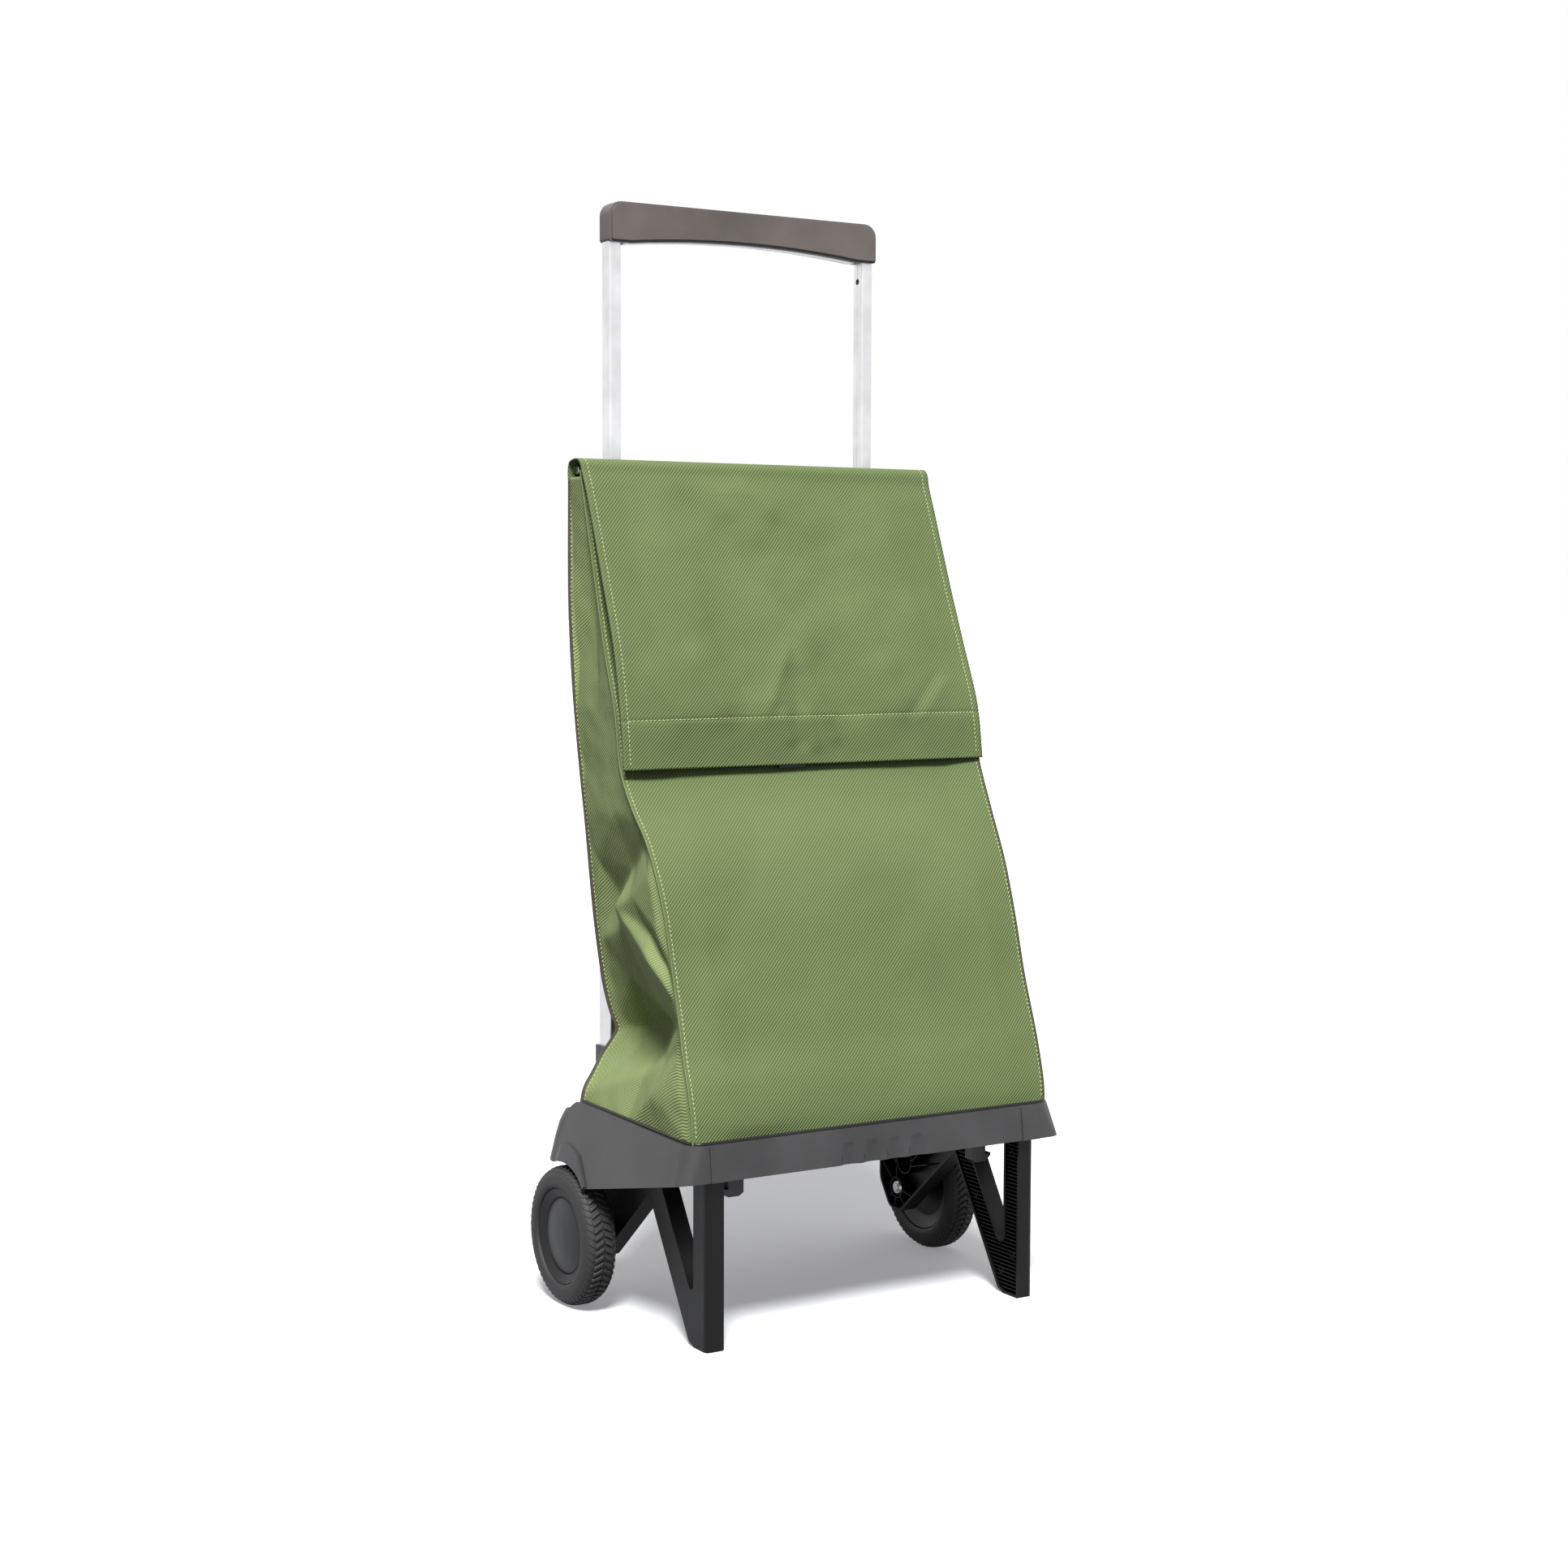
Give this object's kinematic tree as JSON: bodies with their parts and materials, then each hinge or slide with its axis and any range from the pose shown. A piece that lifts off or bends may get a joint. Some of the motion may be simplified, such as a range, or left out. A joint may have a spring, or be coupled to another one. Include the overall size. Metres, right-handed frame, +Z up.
{
  "type": "folding shopping trolley",
  "caption": "Wheeled shopping trolley: flap-topped fabric bag on a folding base with hinged leg frames, wheels and a telescopic pull handle.",
  "frame": {"origin": "on the floor, under the centre of the bounding box", "axes": "+Z up the uprights, +Y to the rear where the uprights and wheels are, +X to the viewer's right when facing the bag's front"},
  "size_m": [0.447, 0.2841, 1.042],
  "materials": {
    "base_plastic": "fine-grained dark grey moulding",
    "board": "plain stiffening board",
    "leg_plastic": "satin near-black moulding",
    "steel": "zinc-plated",
    "tyre": "moulded tyre with a block tread",
    "black_plastic": "satin black",
    "cap_plastic": "satin dark grey",
    "aluminium": "satin drawn tube",
    "grip_plastic": "fine-grained taupe moulding",
    "bag_fabric": "coarse diagonal-ribbed woven polyester"
  },
  "bodies": {
    "base": {"base_tray": "base_plastic", "bag_board": "board", "bag_floor_panel": "bag_fabric", "left_leg_rod": "steel", "right_leg_rod": "steel", "left_fold_pin": "steel", "right_fold_pin": "steel"},
    "uprights": {"left_outer_tube": "aluminium", "right_outer_tube": "aluminium", "left_hinge_block": "base_plastic", "right_hinge_block": "base_plastic", "left_tube_collar": "black_plastic", "right_tube_collar": "black_plastic", "cross_tube": "aluminium", "top_rod": "aluminium", "bag_back_panel": "bag_fabric", "bag_front_panel": "bag_fabric", "bag_left_gusset": "bag_fabric", "bag_right_gusset": "bag_fabric", "bag_top_strip": "bag_fabric", "buckle_socket": "black_plastic"},
    "handle": {"left_inner_tube": "aluminium", "right_inner_tube": "aluminium", "grip_front_shell": "grip_plastic", "grip_rear_shell": "grip_plastic", "grip_core": "aluminium"},
    "flap": {"flap": "bag_fabric", "buckle_plug": "black_plastic"},
    "left_button": {"left_lock_button": "black_plastic"},
    "right_button": {"right_lock_button": "black_plastic"},
    "left_leg": {"left_leg_frame": "leg_plastic", "left_axle": "steel", "left_push_nut": "steel", "left_wheel_spacer": "black_plastic"},
    "right_leg": {"right_leg_frame": "leg_plastic", "right_axle": "steel", "right_push_nut": "steel", "right_wheel_spacer": "black_plastic"},
    "left_wheel": {"left_tyre": "tyre", "left_wheel_rim": "black_plastic", "left_hub_cap": "cap_plastic"},
    "right_wheel": {"right_tyre": "tyre", "right_wheel_rim": "black_plastic", "right_hub_cap": "cap_plastic"}
  },
  "joints": [
    {"name": "base_fold", "type": "hinge", "parent": "base", "child": "uprights", "pos_m": [0, 0.1, 0.202], "axis": [1, 0, 0], "range_deg": [0, 90], "deforming": ["bag_back_panel", "bag_front_panel", "bag_left_gusset", "bag_right_gusset"]},
    {"name": "handle_slide", "type": "slide", "parent": "uprights", "child": "handle", "axis": [0, 0, 1], "range_m": [-0.2, 0]},
    {"name": "flap_lift", "type": "hinge", "parent": "uprights", "child": "flap", "pos_m": [0, 0.088, 0.797], "axis": [1, 0, 0], "range_deg": [-150, 0]},
    {"name": "left_lock_pull", "type": "slide", "parent": "uprights", "child": "left_button", "axis": [1, 0, 0], "range_m": [0, 0.003], "stiffness_N_per_m": 600},
    {"name": "right_lock_pull", "type": "slide", "parent": "uprights", "child": "right_button", "axis": [-1, 0, 0], "range_m": [0, 0.003], "stiffness_N_per_m": 600},
    {"name": "left_leg_fold", "type": "hinge", "parent": "base", "child": "left_leg", "pos_m": [-0.172, 0, 0.17], "axis": [0, -1, 0], "range_deg": [0, 90]},
    {"name": "right_leg_fold", "type": "hinge", "parent": "base", "child": "right_leg", "pos_m": [0.172, 0, 0.17], "axis": [0, 1, 0], "range_deg": [0, 90]},
    {"name": "left_wheel_spin", "type": "hinge", "parent": "left_leg", "child": "left_wheel", "pos_m": [-0.207, 0.076, 0.066], "axis": [1, 0, 0], "continuous": true},
    {"name": "right_wheel_spin", "type": "hinge", "parent": "right_leg", "child": "right_wheel", "pos_m": [0.207, 0.076, 0.066], "axis": [1, 0, 0], "continuous": true}
  ]
}
